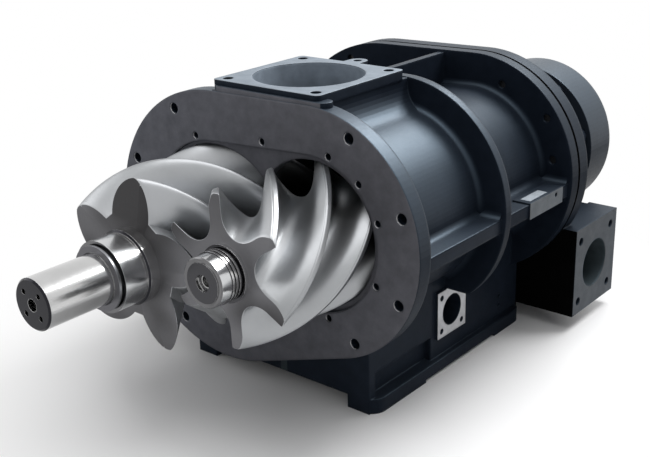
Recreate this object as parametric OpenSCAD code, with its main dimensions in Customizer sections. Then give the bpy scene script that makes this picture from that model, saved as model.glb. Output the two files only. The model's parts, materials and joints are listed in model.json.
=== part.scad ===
// Twin-screw compressor element, standing as its parts do when the rotors are being drawn out.
// The two meshing rotors stand part-way out of the open inlet end of the casing.
// X points to the discharge flange, Y runs along the rotors to the discharge end, Z is up.
// The origin is the centre of the foot bolts on the base plane. Sizes are in millimetres.

/* [Rotors] */
// Distance between the two rotor axes
centre_distance = 144; // [142:0.5:146]
// Rise of the line from the male to the female axis, in degrees
centre_tilt = 9.8; // [8:0.2:12]
// Height of the male rotor axis over the base plane
male_height = 186; // [184:1:190]
// Distance of the male rotor axis to the left of the base's middle
male_offset = 67.5; // [64:0.5:71]
// Male rotor diameter over its lobes
male_d = 204; // [200:1:206]
// Female rotor diameter over its teeth
female_d = 166; // [163:0.5:168]
// Length of the lobed part of both rotors
rotor_len = 336.6; // [320:0.2:350]
// Turn of the male lobes from one end to the other, in degrees
male_wrap = 300; // [240:5:330]
// Place of a male crest at the front face, past the line of the axes, in degrees
mesh_phase = 0.4; // [-6:0.2:6]
// Span of the round side of a male lobe, in degrees
round_span = 41; // [40:0.5:44]
// Span of the steep side of a male lobe, in degrees
steep_span = 24.5; // [22:0.5:26]
// Gap between the flanks of the two rotors
flank_gap = 0.8; // [0.7:0.05:1]
// How far the rotors stand out of the casing's front face
drawn_out = 131; // [100:1:150]
// Gap between a rotor's crests and its bore
bore_gap = 0.3; // [0.25:0.05:0.5]

/* [Male rotor shaft] */
// Radius of the drive shaft
drive_r = 28.5; // [25:0.5:30]
// Length of the drive shaft in front of its collar
drive_len = 82; // [70:1:95]
// Radius of the inlet bearing seat
male_seat_r = 33; // [32:0.5:34]
// Outer radius of the inlet bearing ring
male_ring_r = 40.4; // [38:0.2:42]
// Length of the inlet bearing ring
male_ring_len = 27; // [22:1:29]
// Length of the collar between the bearing ring and the rotor
male_collar_len = 18.5; // [14:0.5:24]
// Radius of the journal at the discharge end, where it carries bearings
male_journal_r = 30; // [28:0.5:30]

/* [Female rotor shaft] */
// Radius of the inlet bearing ring on the female rotor
female_ring_r = 27; // [26:0.5:29]
// Length of the inlet bearing ring on the female rotor
female_ring_len = 15; // [12:1:17]
// Length of the grooved collar between the ring and the rotor
female_collar_len = 17.8; // [15:0.2:22]
// Radius of the journal at the discharge end, where it carries bearings
female_journal_r = 27.5; // [25:0.5:27.5]

/* [Casing] */
// Radius of the flanges about the male axis
flange_r_male = 166; // [160:1:166]
// Radius of the flanges about the female axis
flange_r_female = 144; // [140:1:148]
// Thickness of the front flange
front_flange_t = 20; // [16:1:26]
// Thickness of the rear flange
rear_flange_t = 18.5; // [14:0.5:24]
// Distance of the middle rib from the front face
mid_rib_at = 168; // [164:1:178]
// Thickness of the middle rib
mid_rib_t = 12; // [8:1:16]
// Wall round the rotors in the front bay
front_wall = 27; // [24:1:30]
// Wall round the rotors in the rear bay
rear_wall = 19; // [15:1:23]
// Depth of the recess in the front face
recess_depth = 6; // [4:0.5:9]
// Width of the recess's rim about the female bore
recess_rim_female = 7; // [5:0.5:9]
// Width of the recess's rim about the male bore
recess_rim_male = 5; // [4:0.5:8]
// Thickness of the shelves along both sides
shelf_t = 16; // [12:1:20]

/* [Inlet] */
// Width of the square inlet flange
inlet_w = 154.4; // [150:0.2:160]
// Height of the inlet face over the base plane
inlet_height = 364.5; // [362:0.5:370]
// Distance of the inlet's middle from the front face
inlet_at = 82; // [80:1:86]
// Inlet's middle to the right of the base's middle
inlet_x = 9; // [5:0.5:13]
// Radius of the inlet port
inlet_r = 64; // [56:1:66]
// Spacing of the four inlet bolts
inlet_pitch = 128.6; // [126:0.2:132]
// Radius of a bolt hole in the inlet flange
inlet_hole_r = 6; // [5:0.5:7]

/* [Base] */
// Width of the base over its rails
base_w = 292; // [284:1:300]
// Height of the rails
rail_h = 18; // [14:1:19]
// Set-back of the base's front edge behind the front face
base_setback = 18; // [14:1:22]
// Height of the gap under the front edge between the feet
foot_arch = 16.7; // [12:0.1:20]
// Width of a foot across the front
foot_w = 40; // [34:1:46]
// Radius of a foot bolt hole
foot_hole_r = 8.5; // [7:0.5:8.5]
// Distance between the foot bolts across the part
foot_pitch_x = 236; // [234:1:240]
// Distance between the foot bolts along the part
foot_pitch_y = 262; // [250:1:280]

/* [Side port] */
// Width of the square side port flange
port_w = 61; // [56:1:66]
// Radius of the side port
port_r = 19.9; // [16:0.1:21]
// Spacing of the four side port bolts
port_pitch = 43.6; // [42:0.2:46]
// Distance of the side port's middle from the front face
port_at = 180; // [170:1:190]
// Height of the side port's middle
port_height = 72.5; // [68:0.5:78]

/* [Rear cover] */
// Thickness of the rear cover's flange
cover_flange_t = 21.5; // [18:0.5:26]
// Thickness of the joint gasket
gasket_t = 1; // [0.5:0.1:2]
// Length of the bearing housing behind the flange
housing_len = 87; // [84:1:94]
// Thickness of the wall between the rotors and the bearings
end_wall_t = 30; // [26:1:34]
// Radius of the bearing housing about the female axis
housing_r_female = 92; // [86:1:96]
// Radius of the bearing housing about the male axis
housing_r_male = 84; // [80:1:88]
// Depth of the end cover along the rotors
end_cover_t = 60; // [50:1:70]
// Overhang of the end cover over the bearing housing
end_cover_lip = 13; // [10:1:16]
// Distance of the discharge flange face from the base's middle
discharge_reach = 219; // [214:1:226]
// Width of the square discharge flange
discharge_w = 118; // [112:1:122]
// Radius of the discharge port
discharge_r = 32.3; // [26:0.1:34]
// Spacing of the four discharge bolts
discharge_pitch = 83.2; // [80:0.2:88]
// Height of the discharge port's middle
discharge_height = 79; // [77:0.5:82]

/* [Bearings] */
// Outer radius of the male rotor's bearings
male_bearing_r = 65; // [62:0.5:66]
// Outer radius of the female rotor's bearings
female_bearing_r = 60; // [57:0.5:61]
// Width of the roller bearings
roller_w = 28; // [24:1:30]
// Width of one thrust ball bearing
ball_w = 20; // [18:0.5:20]

/* [Hidden] */
$fn = 96;

// Lobes and radii
lobes_m = 5;
lobes_f = 6;
male_r = male_d / 2;
female_r = female_d / 2;

// Axes, as points in the X and Z plane
male_c = [-male_offset, male_height];
female_c = male_c + centre_distance * [cos(centre_tilt), sin(centre_tilt)];

// Places along the rotors
end_float = 0.9;
case_len = recess_depth + rotor_len + end_float;
base_len = case_len - base_setback;
base_y0 = -base_len / 2;
joint_y = base_len / 2;
front_y = base_y0 - base_setback;
rib_y = front_y + mid_rib_at;
rotor_y = front_y - drawn_out;
rotor_end_y = rotor_y + rotor_len;
cover_y = joint_y + gasket_t;
flange_back_y = cover_y + cover_flange_t;
housing_y = flange_back_y + housing_len;
pocket_y = cover_y + end_wall_t;
seat_y = housing_y + gasket_t;
end_cover_y = seat_y + end_cover_t;
ball_y = pocket_y + roller_w;
clamp_y = ball_y + 2 * ball_w;
cut = 1;

// Outline helpers: points of an arc, and of two circles with their outer tangents
function arc(c, r, a0, a1, n) = [for (i = [0:n]) c + r * [cos(a0 + (a1 - a0) * i / n),
    sin(a0 + (a1 - a0) * i / n)]];
function pair_outline(r1, r2, n = 60) =
    let (b = acos((r1 - r2) / centre_distance))
    concat(arc(male_c, r1, centre_tilt + b, centre_tilt - b + 360, n),
        arc(female_c, r2, centre_tilt - b, centre_tilt + b, n));
function round_rect(w, h, r, n = 6) = concat(
    arc([w / 2 - r, h / 2 - r], r, 0, 90, n), arc([r - w / 2, h / 2 - r], r, 90, 180, n),
    arc([r - w / 2, r - h / 2], r, 180, 270, n), arc([w / 2 - r, r - h / 2], r, 270, 360, n));

// A flat outline drawn as seen from the front, made solid between two places along Y
module slab(y0, y1) {
    translate([0, y1, 0]) rotate([90, 0, 0]) linear_extrude(y1 - y0) children();
}
module rod_y(c, y0, y1, r) {
    translate([c.x, y1, c.y]) rotate([90, 0, 0]) cylinder(h = y1 - y0, r = r);
}
module rod_x(y, z, x0, x1, r) {
    translate([x0, y, z]) rotate([0, 90, 0]) cylinder(h = x1 - x0, r = r);
}
module rod_z(x, y, z0, z1, r) {
    translate([x, y, z0]) cylinder(h = z1 - z0, r = r);
}
// A turned piece on an axis along Y: its profile holds radius and place along Y
module turned(c) {
    translate([c.x, 0, c.y]) rotate([-90, 0, 0]) rotate_extrude() children();
}

// Mesh geometry. In the plane of the front face the male axis is the origin, a male crest
// points along +X, and the female axis lies at [centre_distance, 0].
male_root_r = centre_distance - female_r - flank_gap;
round_power = 1.15;
steep_power = 1.5;
ring_count = 32;

function polar(r, a) = [r * cos(a), r * sin(a)];
function spin(p, a) = [p.x * cos(a) - p.y * sin(a), p.x * sin(a) + p.y * cos(a)];
function cross2(a, b) = a.x * b.y - a.y * b.x;

// One male lobe, from the foot of its steep side over the crest to the foot of its round side
function lobe_r(a) =
    let (u = a < 0 ? pow(-a / steep_span, steep_power) : pow(a / round_span, round_power))
    male_r - (male_r - male_root_r) * min(1, u);
function lobe_outline(steep_n, round_n) = concat(
    [for (i = [0:steep_n - 1]) let (a = steep_span * (i / steep_n - 1)) polar(lobe_r(a), a)],
    [for (i = [0:round_n]) let (a = round_span * i / round_n) polar(lobe_r(a), a)]);
male_lobe = lobe_outline(7, 8);

// The male outline grown by the flank gap, in the places that it takes in the female rotor's
// own plane while the two turn in mesh
function male_sweep() =
    let (ring = [for (k = [0:lobes_m - 1], p = lobe_outline(10, 16)) spin(p, k * 360 / lobes_m)],
        n = len(ring),
        grown = [for (i = [0:n - 1])
            let (d = ring[(i + 1) % n] - ring[(i + n - 1) % n])
            ring[i] + flank_gap / norm(d) * [d.y, -d.x]])
    [for (turn = [-36:1.5:34.5])
        [for (p = grown) spin(spin(p, turn) - [centre_distance, 0], turn * lobes_m / lobes_f)]];
// Where a ray from the axis meets the piece of outline from a to b
function ray_hit(d, a, b) =
    let (ca = cross2(d, a), cb = cross2(d, b))
    ca * cb > 0 || ca == cb ? female_r :
    let (r = (a + (b - a) * ca / (ca - cb)) * d)
    r > 0 ? min(r, female_r) : female_r;
// One female tooth and the groove after it: as much as the sweep leaves, along a few rays
tooth_angles = [0, 6, 11, 15, 18, 20, 21, 21.6, 25, 28.5, 32, 36, 40, 44, 49, 55];
function female_tooth() =
    let (sweep = male_sweep(), n = len(sweep[0]))
    [for (a = tooth_angles)
        polar(min([for (k = [1:4]) let (d = polar(1, a + k * 360 / lobes_f))
            min([for (ring = sweep, i = [0:n - 1])
                ray_hit(d, ring[i], ring[(i + 1) % n])])]), a + 180)];

// A lobed body on its shaft: the outline of one lobe repeated round the axis, turned along it,
// with a hole for the shaft. The ends are flat strips between the outline and the hole.
module lobed_body(c, outline, lobes, start, turn, hole_r) {
    ring = [for (k = [0:lobes - 1], p = outline) spin(p, start + k * 360 / lobes)];
    n = len(ring);
    hole = [for (p = ring) polar(hole_r, atan2(p.y, p.x))];
    last = ring_count * n;
    near = (ring_count + 1) * n;
    far = near + n;
    shift = (round(turn * lobes / 360) % lobes + lobes) % lobes * len(outline);
    points = concat(
        [for (j = [0:ring_count], p = ring)
            let (q = c + spin(p, turn * j / ring_count))
            [q.x, rotor_y + rotor_len * j / ring_count, q.y]],
        [for (p = hole) [c.x + p.x, rotor_y, c.y + p.y]],
        [for (p = hole) [c.x + p.x, rotor_end_y, c.y + p.y]]);
    sides = [for (j = [0:ring_count - 1], i = [0:n - 1])
        let (a = j * n + i, b = j * n + (i + 1) % n)
        each turn < 0 ? [[a, b, b + n], [a, b + n, a + n]] : [[a, b, a + n], [b, b + n, a + n]]];
    ends = [for (i = [0:n - 1])
        let (k = (i + 1) % n, h = (i + shift) % n, g = (i + 1 + shift) % n)
        each [[i, near + i, near + k], [i, near + k, k],
            [last + i, last + k, far + g], [last + i, far + g, far + h]]];
    bore = [for (i = [0:n - 1])
        let (k = (i + 1) % n)
        each [[near + i, far + i, far + k], [near + i, far + k, near + k]]];
    polyhedron(points, concat(sides, ends, bore));
}
// Holes in the front face, as angle about the axis that they lie round
front_holes_male = [114.4, 154.5, 198, 241.6];
front_holes_female = [64.5, 19.5, -24.6, -63.2];
inner_holes_female = [73.5, 46.1, 19, -24.1, -76.9];
inner_holes_male = [104.8, 170, 235, 290];
front_hole_top = [inlet_x - 1, inlet_height - 60];
front_hole_r = 6.5;
front_hole_depth = 17;
inner_hole_r = 4.2;
inner_hole_depth = 12;
inner_hole_inset = 6.5;
hole_inset = 15;
rim_male = flange_r_male - hole_inset;
rim_female = flange_r_female - hole_inset;
recess_r_male = male_r + recess_rim_male;
recess_r_female = female_r + recess_rim_female;

// Joint screws and dowels: angle about an axis, that axis, and distance from it
joint_screws = [
    for (a = [112, 145, 178, 211, 244]) [a, male_c, rim_male],
    [69, female_c, rim_female - 13], [35, female_c, rim_female], [11, female_c, rim_female - 11]];
blind_screw = [-25, female_c, rim_female];
joint_dowels = [[128, male_c, rim_male], [-46, female_c, rim_female]];
joint_screw_r = 5;
joint_head_r = 8;
joint_head_h = 10;
screw_gap = 0.05;
thread_depth = 14;
dowel_r = 5;
dowel_depth = 9;
dowel_gap = 0.5;

// Rotor chamber
bore_r_male = male_r + bore_gap;
bore_r_female = female_r + bore_gap;
journal_gap = 0.5;

// Shafts
male_core_r = male_seat_r;
female_core_r = 29;
core_gap = 0.1;
stop_ring_t = 3;
stop_step = 1;
stop_seat_r = drive_r + 1;
drive_end_circle_r = 17;
drive_end_hole_r = 3.2;
drive_end_hole_depth = 18;
male_groove_t = 2.5;
male_collar_y = rotor_y - male_collar_len;
male_ring_y = male_collar_y - male_ring_len;
male_collar_r = male_ring_r + 2.6;
female_collar_y = rotor_y - female_collar_len;
female_ring_y = female_collar_y - female_ring_len;
female_seat_r = female_ring_r - 5.5;
female_collar_r = female_ring_r + 1;
female_groove_count = 3;
tail_y = rotor_end_y + end_wall_t + roller_w + 2 * ball_w + 12;
function tail_profile(core, journal) = [[core, rotor_y], [core, rotor_end_y + end_wall_t],
    [journal, rotor_end_y + end_wall_t], [journal, tail_y - 12], [journal - 2, tail_y - 12],
    [journal - 2, tail_y - 1.5], [journal - 3.5, tail_y], [0, tail_y]];

// Inlet
inlet_y = front_y + inlet_at;
inlet_plate_t = 12;
chest_fillet = 30;
chest_half = inlet_w / 2 - 2;
chest_top = inlet_height - inlet_plate_t + cut;
ear_r = 12;
ear_hole_r = 5;
spine_w = 9;

// Base
rail_x = base_w / 2;
wall_x = rail_x - 9;
base_cavity_h = 44;
base_side_wall = 36;
base_end_wall = 20;
foot_hole_depth = 30;
pad_relief = 3.7;
foot_round = 18;
block_top = male_c.y - 20;
pocket_h = 30;
pocket_depth = 9;
pocket_at = 12;
pocket_len = 110;
pad_len_front = 100;
pad_len_rear = 70;

// Machined pad on the right shelf, and two small holes in the base's right wall
shelf_x = female_c.x + flange_r_female - 5;
shelf_top = female_c.y - 12 + shelf_t / 2;
pad_y = 48;
pad_len = 79;
pad_w = 24;
pad_rise = 2;
small_r = 2.8;
side_holes_y = 117;
side_holes_z = [32.6, 45.5];

// Side port
port_y = front_y + port_at;
port_face = rail_x - 5;
port_hole_r = 3.6;
port_bend = 52;

// Rear cover
discharge_y = cover_y + discharge_w / 2 - 3;
discharge_len = discharge_y - cover_y + discharge_w / 2;
discharge_back = 50;
discharge_outer = 40;
discharge_hole_r = 5.5;
chamber_c = [14, 86];
chamber_r = 44;
end_screw_inset = 5;
end_screws = [
    for (a = [56, 12, -32, -74]) [a, female_c, housing_r_female - end_screw_inset],
    for (a = [122, 166, 210, 254]) [a, male_c, housing_r_male - end_screw_inset]];
end_hole_depth = 24;
end_head_sunk = 2;
end_screw_r = 5;
end_head_r = 8;
end_head_h = 10;
lug_r = 13;
cover_edge = 6;
cover_wall = 14;
ring_lip = 12;

// Bearings
ring_gap = 0.05;
cage_gap = 0.3;
cage_inset = 1.2;
roller_lip = 4.5;

function around(a, c, r) = c + polar(r, a);

module screw_y(c, y, r, head_r, head_h, len) {
    difference() {
        rod_y(c, y, y + head_h, head_r);
        translate([c.x, y + head_h + cut, c.y]) rotate([90, 0, 0])
            cylinder(h = head_h * 0.6 + cut, r = head_r * 0.6, $fn = 6);
    }
    rod_y(c, y - len, y, r);
}

module chest_outline() {
    wall_l = inlet_x - chest_half;
    wall_r = inlet_x + chest_half;
    r_l = male_r + front_wall;
    r_r = female_r + front_wall;
    fc_l = wall_l - chest_fillet;
    fc_r = wall_r + chest_fillet;
    z_l = male_c.y + sqrt((r_l + chest_fillet) ^ 2 - (fc_l - male_c.x) ^ 2);
    z_r = female_c.y + sqrt((r_r + chest_fillet) ^ 2 - (fc_r - female_c.x) ^ 2);
    a_l = atan2(male_c.y - z_l, male_c.x - fc_l);
    a_r = atan2(female_c.y - z_r, female_c.x - fc_r);
    polygon(concat([[wall_r, chest_top]], [[wall_l, chest_top]],
        arc([fc_l, z_l], chest_fillet, 0, a_l, 8),
        [[male_c.x, male_c.y], [female_c.x, female_c.y]],
        arc([fc_r, z_r], chest_fillet, a_r + 360, 180, 8)));
}
module shelf(y0, y1) {
    translate([male_c.x, y0, female_c.y - shelf_t / 2 - 12])
        cube([female_c.x - male_c.x + flange_r_female - 5, y1 - y0, shelf_t]);
    translate([male_c.x - flange_r_male + 5, y0, male_c.y - shelf_t / 2])
        cube([flange_r_male, y1 - y0, shelf_t]);
}
module base_block() {
    difference() {
        translate([-wall_x, base_y0, 0]) cube([2 * wall_x, base_len, block_top]);
        translate([wall_x - pocket_depth, base_y0 + pocket_at, rail_h])
            cube([pocket_depth + cut, pocket_len, pocket_h]);
        translate([-wall_x - cut, base_y0 + pocket_at, rail_h])
            cube([pocket_depth + cut, pocket_len, pocket_h]);
    }
    linear_extrude(rail_h) translate([0, (base_y0 + joint_y) / 2])
        polygon(round_rect(base_w, base_len, foot_round));
}
module base_hollow() {
    translate([-wall_x + base_side_wall, base_y0 + base_end_wall, -cut])
        cube([2 * (wall_x - base_side_wall), base_len - 2 * base_end_wall, base_cavity_h + cut]);
    translate([foot_w - rail_x, base_y0 - cut, -cut])
        cube([base_w - 2 * foot_w, base_end_wall + 2 * cut, foot_arch + cut]);
    translate([-rail_x - cut, base_y0 + pad_len_front, -cut])
        cube([base_w + 2 * cut, base_len - pad_len_front - pad_len_rear, pad_relief + cut]);
}
module rotor_chamber() {
    slab(front_y - cut, front_y + recess_depth)
        polygon(pair_outline(recess_r_male, recess_r_female));
    rod_y(male_c, front_y, joint_y + cut, bore_r_male);
    rod_y(female_c, front_y, joint_y + cut, bore_r_female);
}
module rotor_casing() {
    color([0.12, 0.13, 0.15]) difference() {
        union() {
            slab(front_y, front_y + front_flange_t)
                polygon(pair_outline(flange_r_male, flange_r_female));
            slab(rib_y, rib_y + mid_rib_t)
                polygon(pair_outline(flange_r_male, flange_r_female));
            slab(joint_y - rear_flange_t, joint_y)
                polygon(pair_outline(flange_r_male, flange_r_female));
            slab(front_y, rib_y + mid_rib_t)
                polygon(pair_outline(male_r + front_wall, female_r + front_wall));
            slab(rib_y, joint_y)
                polygon(pair_outline(male_r + rear_wall, female_r + rear_wall));
            slab(front_y + 2, rib_y + mid_rib_t / 2) chest_outline();
            translate([inlet_x, inlet_y, inlet_height - inlet_plate_t])
                linear_extrude(inlet_plate_t) polygon(round_rect(inlet_w, inlet_w, 6));
            spine();
            shelf(front_y + front_flange_t - cut, joint_y - rear_flange_t + cut);
            base_block();
            translate([shelf_x + pad_rise - pad_w, pad_y, shelf_top - shelf_t - pad_rise])
                cube([pad_w, pad_len, shelf_t + 2 * pad_rise]);
            translate([wall_x - cut, port_y - port_w / 2, port_height - port_w / 2])
                cube([port_face - wall_x + cut, port_w, port_w]);
        }
        rotor_chamber();
        base_hollow();
        translate([port_face, port_y - port_w / 2 - 1, port_height - port_w / 2 - 1])
            cube([port_w, port_w + 2, port_w + 2]);
        rod_z(inlet_x, inlet_y, male_c.y, inlet_height + cut, inlet_r);
        for (i = [-1, 1], j = [-1, 1])
            rod_z(inlet_x + i * inlet_pitch / 2, inlet_y + j * inlet_pitch / 2,
                inlet_height - 28, inlet_height + cut, inlet_hole_r);
        rod_z(inlet_x, inlet_y + inlet_w / 2 + ear_r, inlet_height - 30, inlet_height + cut,
            ear_hole_r);
        rod_x(port_y, port_height, port_bend, port_face + cut, port_r);
        rod_z(port_bend + 12, port_y, port_height, female_c.y - female_r + 2, 11);
        for (i = [-1, 1], j = [-1, 1])
            rod_x(port_y + i * port_pitch / 2, port_height + j * port_pitch / 2,
                port_face - 14, port_face + cut, port_hole_r);
        rod_x(pad_y + pad_len - 17, shelf_top - 4, shelf_x - 12, shelf_x + pad_rise + cut, small_r);
        for (z = side_holes_z)
            rod_x(side_holes_y, z, wall_x - 10, wall_x + cut, small_r);
        for (i = [-1, 1], j = [-1, 1])
            rod_z(i * foot_pitch_x / 2, j * foot_pitch_y / 2, -cut, foot_hole_depth, foot_hole_r);
        for (a = front_holes_male)
            rod_y(around(a, male_c, rim_male), front_y - cut, front_y + front_hole_depth,
                front_hole_r);
        for (a = front_holes_female)
            rod_y(around(a, female_c, rim_female), front_y - cut, front_y + front_hole_depth,
                front_hole_r);
        rod_y(front_hole_top, front_y - cut, front_y + inner_hole_depth, inner_hole_r);
        for (a = inner_holes_male)
            rod_y(around(a, male_c, recess_r_male + inner_hole_inset), front_y - cut,
                front_y + inner_hole_depth, inner_hole_r);
        for (a = inner_holes_female)
            rod_y(around(a, female_c, recess_r_female + inner_hole_inset), front_y - cut,
                front_y + inner_hole_depth, inner_hole_r);
        joint_holes(joint_y - rear_flange_t - cut, joint_y + cut, joint_screw_r);
        dowel_holes(joint_y - dowel_depth, joint_y + cut);
    }
}
module spine() {
    translate([inlet_x + 12, inlet_y + inlet_w / 2 - 4, male_c.y + male_r])
        cube([spine_w, joint_y - inlet_y - inlet_w / 2, inlet_height - 14 - male_c.y - male_r]);
    translate([inlet_x, inlet_y + inlet_w / 2 + ear_r, inlet_height - inlet_plate_t])
        linear_extrude(inlet_plate_t) polygon(concat([[-ear_r, -ear_r - 2], [ear_r, -ear_r - 2]],
            arc([0, 0], ear_r, 0, 180, 12)));
}
module joint_holes(y0, y1, r) {
    for (s = joint_screws) rod_y(around(s[0], s[1], s[2]), y0, y1, r);
    rod_y(around(blind_screw[0], blind_screw[1], blind_screw[2]),
        max(y0, joint_y - thread_depth - 1), y1, r);
}
module dowel_holes(y0, y1) {
    for (d = joint_dowels) rod_y(around(d[0], d[1], d[2]), y0, y1, dowel_r);
}

// Opening in the joint face where the squeezed gas leaves both bores
module discharge_window(y0, y1) {
    slab(y0, y1) polygon(concat(arc(male_c, male_r - 2, -62, -29, 8),
        arc(male_c, male_core_r + 35, -29, -62, 8)));
    slab(y0, y1) polygon(concat(arc(female_c, female_r - 2, 213, 243, 8),
        arc(female_c, female_core_r + 18, 243, 213, 8)));
}
module joint_gasket() {
    color([0.03, 0.03, 0.035]) difference() {
        slab(joint_y, cover_y) polygon(pair_outline(flange_r_male - 0.5, flange_r_female - 0.5));
        rod_y(male_c, joint_y - cut, cover_y + cut, bore_r_male);
        rod_y(female_c, joint_y - cut, cover_y + cut, bore_r_female);
        joint_holes(joint_y - cut, cover_y + cut, joint_screw_r + 0.5);
        dowel_holes(joint_y - cut, cover_y + cut);
    }
}
module discharge_box(x0, x1, len) {
    translate([x0, cover_y, discharge_height - discharge_w / 2])
        cube([x1 - x0, len, discharge_w]);
}
module rear_cover() {
    color([0.12, 0.13, 0.15]) difference() {
        union() {
            slab(cover_y, flange_back_y) polygon(pair_outline(flange_r_male, flange_r_female));
            slab(cover_y, housing_y) polygon(pair_outline(housing_r_male, housing_r_female));
            for (s = end_screws) rod_y(around(s[0], s[1], s[2]), cover_y, housing_y, lug_r);
            discharge_box(-discharge_back, discharge_reach - discharge_outer, housing_y - cover_y);
            discharge_box(discharge_reach - discharge_outer, discharge_reach, discharge_len);
        }
        rod_y(male_c, cover_y - cut, pocket_y + cut, male_core_r + journal_gap);
        rod_y(female_c, cover_y - cut, pocket_y + cut, female_core_r + journal_gap);
        rod_y(male_c, pocket_y, housing_y + cut, male_bearing_r);
        rod_y(female_c, pocket_y, housing_y + cut, female_bearing_r);
        discharge_window(cover_y - cut, cover_y + 14);
        rod_y(chamber_c, cover_y + 12, cover_y + discharge_w - 24, chamber_r);
        rod_x(discharge_y, discharge_height, chamber_c.x, discharge_reach + cut, discharge_r);
        for (i = [-1, 1], j = [-1, 1])
            rod_x(discharge_y + i * discharge_pitch / 2, discharge_height + j * discharge_pitch / 2,
                discharge_reach - 22, discharge_reach + cut, discharge_hole_r);
        joint_holes(cover_y - cut, flange_back_y + cut, joint_screw_r + 0.5);
        dowel_holes(cover_y - cut, cover_y + dowel_depth);
        for (s = end_screws)
            rod_y(around(s[0], s[1], s[2]), housing_y - end_hole_depth, housing_y + cut,
                end_screw_r);
    }
}
module rear_cover_screws() {
    color("dimgray") {
        for (s = concat(joint_screws, [blind_screw]))
            screw_y(around(s[0], s[1], s[2]), flange_back_y, joint_screw_r - screw_gap,
                joint_head_r, joint_head_h, cover_flange_t + gasket_t + thread_depth);
    }
}
module dowel_pins() {
    color("silver") for (d = joint_dowels)
        rod_y(around(d[0], d[1], d[2]), joint_y - dowel_depth + dowel_gap,
            cover_y + dowel_depth - dowel_gap, dowel_r - screw_gap);
}

// End cover over both pairs of discharge bearings, and the gasket under it
module end_cover_gasket() {
    color([0.03, 0.03, 0.035]) difference() {
        union() {
            slab(housing_y, seat_y)
                polygon(pair_outline(housing_r_male - 0.5, housing_r_female - 0.5));
            for (s = end_screws) rod_y(around(s[0], s[1], s[2]), housing_y, seat_y, lug_r - 0.5);
        }
        rod_y(male_c, housing_y - cut, seat_y + cut, male_bearing_r);
        rod_y(female_c, housing_y - cut, seat_y + cut, female_bearing_r);
        for (s = end_screws)
            rod_y(around(s[0], s[1], s[2]), housing_y - cut, seat_y + cut, end_screw_r + 0.5);
    }
}
module end_cover() {
    r_m = housing_r_male + end_cover_lip;
    r_f = housing_r_female + end_cover_lip;
    color([0.55, 0.58, 0.62]) difference() {
        union() {
            slab(seat_y, end_cover_y - cover_edge) polygon(pair_outline(r_m, r_f));
            for (i = [1:4]) let (a = i * 22.5)
                slab(end_cover_y - cover_edge - cut, end_cover_y - cover_edge * (1 - sin(a)))
                    polygon(pair_outline(r_m - cover_edge * (1 - cos(a)),
                        r_f - cover_edge * (1 - cos(a))));
        }
        rod_y(male_c, seat_y - cut, end_cover_y - cover_wall, male_bearing_r - ring_lip);
        rod_y(female_c, seat_y - cut, end_cover_y - cover_wall, female_bearing_r - ring_lip);
        for (s = end_screws) {
            rod_y(around(s[0], s[1], s[2]), seat_y - cut, end_cover_y + cut, end_screw_r + 0.5);
            rod_y(around(s[0], s[1], s[2]), end_cover_y - end_head_h - end_head_sunk,
                end_cover_y + cut, end_head_r + 1);
        }
    }
}
module end_cover_screws() {
    color("dimgray") for (s = end_screws)
        screw_y(around(s[0], s[1], s[2]), end_cover_y - end_head_h - end_head_sunk,
            end_screw_r - screw_gap, end_head_r, end_head_h,
            end_cover_t + gasket_t - end_head_h - end_head_sunk + end_hole_depth - 6);
}

// Discharge bearings: a roller bearing against the end wall, then two thrust ball bearings
function mid_r(r, bore) = (r + bore) / 2;
function roll_r(r, bore) = 0.2 * (r - bore);
module ring_y(c, y0, y1, r_in, r_out) {
    difference() {
        rod_y(c, y0, y1, r_out);
        rod_y(c, y0 - cut, y1 + cut, r_in);
    }
}
module roller_outer_ring(c, r, bore) {
    m = mid_r(r, bore);
    k = roll_r(r, bore);
    color("silver") turned(c) polygon([[r - screw_gap, pocket_y], [r - screw_gap, ball_y],
        [m + k / 2, ball_y], [m + k / 2, ball_y - roller_lip], [m + k, ball_y - roller_lip],
        [m + k, pocket_y + roller_lip], [m + k / 2, pocket_y + roller_lip], [m + k / 2, pocket_y]]);
}
module roller_inner_ring(c, r, bore) {
    color("silver") ring_y(c, pocket_y, ball_y, bore, mid_r(r, bore) - roll_r(r, bore));
}
module each_roller(c, r, bore) {
    n = floor(180 / asin(1.25 * roll_r(r, bore) / mid_r(r, bore)));
    for (i = [0:n - 1]) translate(around_y(360 * i / n, c, mid_r(r, bore))) children();
}
function around_y(a, c, r) = [c.x + r * cos(a), 0, c.y + r * sin(a)];
module rollers(c, r, bore, grow = -ring_gap) {
    each_roller(c, r, bore)
        rod_y([0, 0], pocket_y + roller_lip - grow, ball_y - roller_lip + grow,
            roll_r(r, bore) + grow);
}
module roller_cage(c, r, bore) {
    color([0.72, 0.58, 0.28]) difference() {
        ring_y(c, pocket_y + 1.5, ball_y - 1.5, mid_r(r, bore) - roll_r(r, bore) * 0.45,
            mid_r(r, bore) + roll_r(r, bore) * 0.35);
        rollers(c, r, bore, cage_gap);
    }
}
module thrust_groove(c, r, bore) {
    for (i = [0, 1]) turned(c)
        translate([mid_r(r, bore), ball_y + (i + 0.5) * ball_w]) circle(r = roll_r(r, bore));
}
module thrust_outer_rings(c, r, bore) {
    land = mid_r(r, bore) + roll_r(r, bore) * 0.5;
    color("silver") difference() {
        for (i = [0, 1])
            ring_y(c, ball_y + i * ball_w, ball_y + (i + 1) * ball_w - ring_gap, land,
                r - screw_gap);
        thrust_groove(c, r, bore);
    }
}
module thrust_inner_rings(c, r, bore) {
    land = mid_r(r, bore) - roll_r(r, bore) * 0.5;
    color("silver") difference() {
        for (i = [0, 1])
            ring_y(c, ball_y + i * ball_w, ball_y + (i + 1) * ball_w - ring_gap, bore, land);
        thrust_groove(c, r, bore);
    }
}
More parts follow.
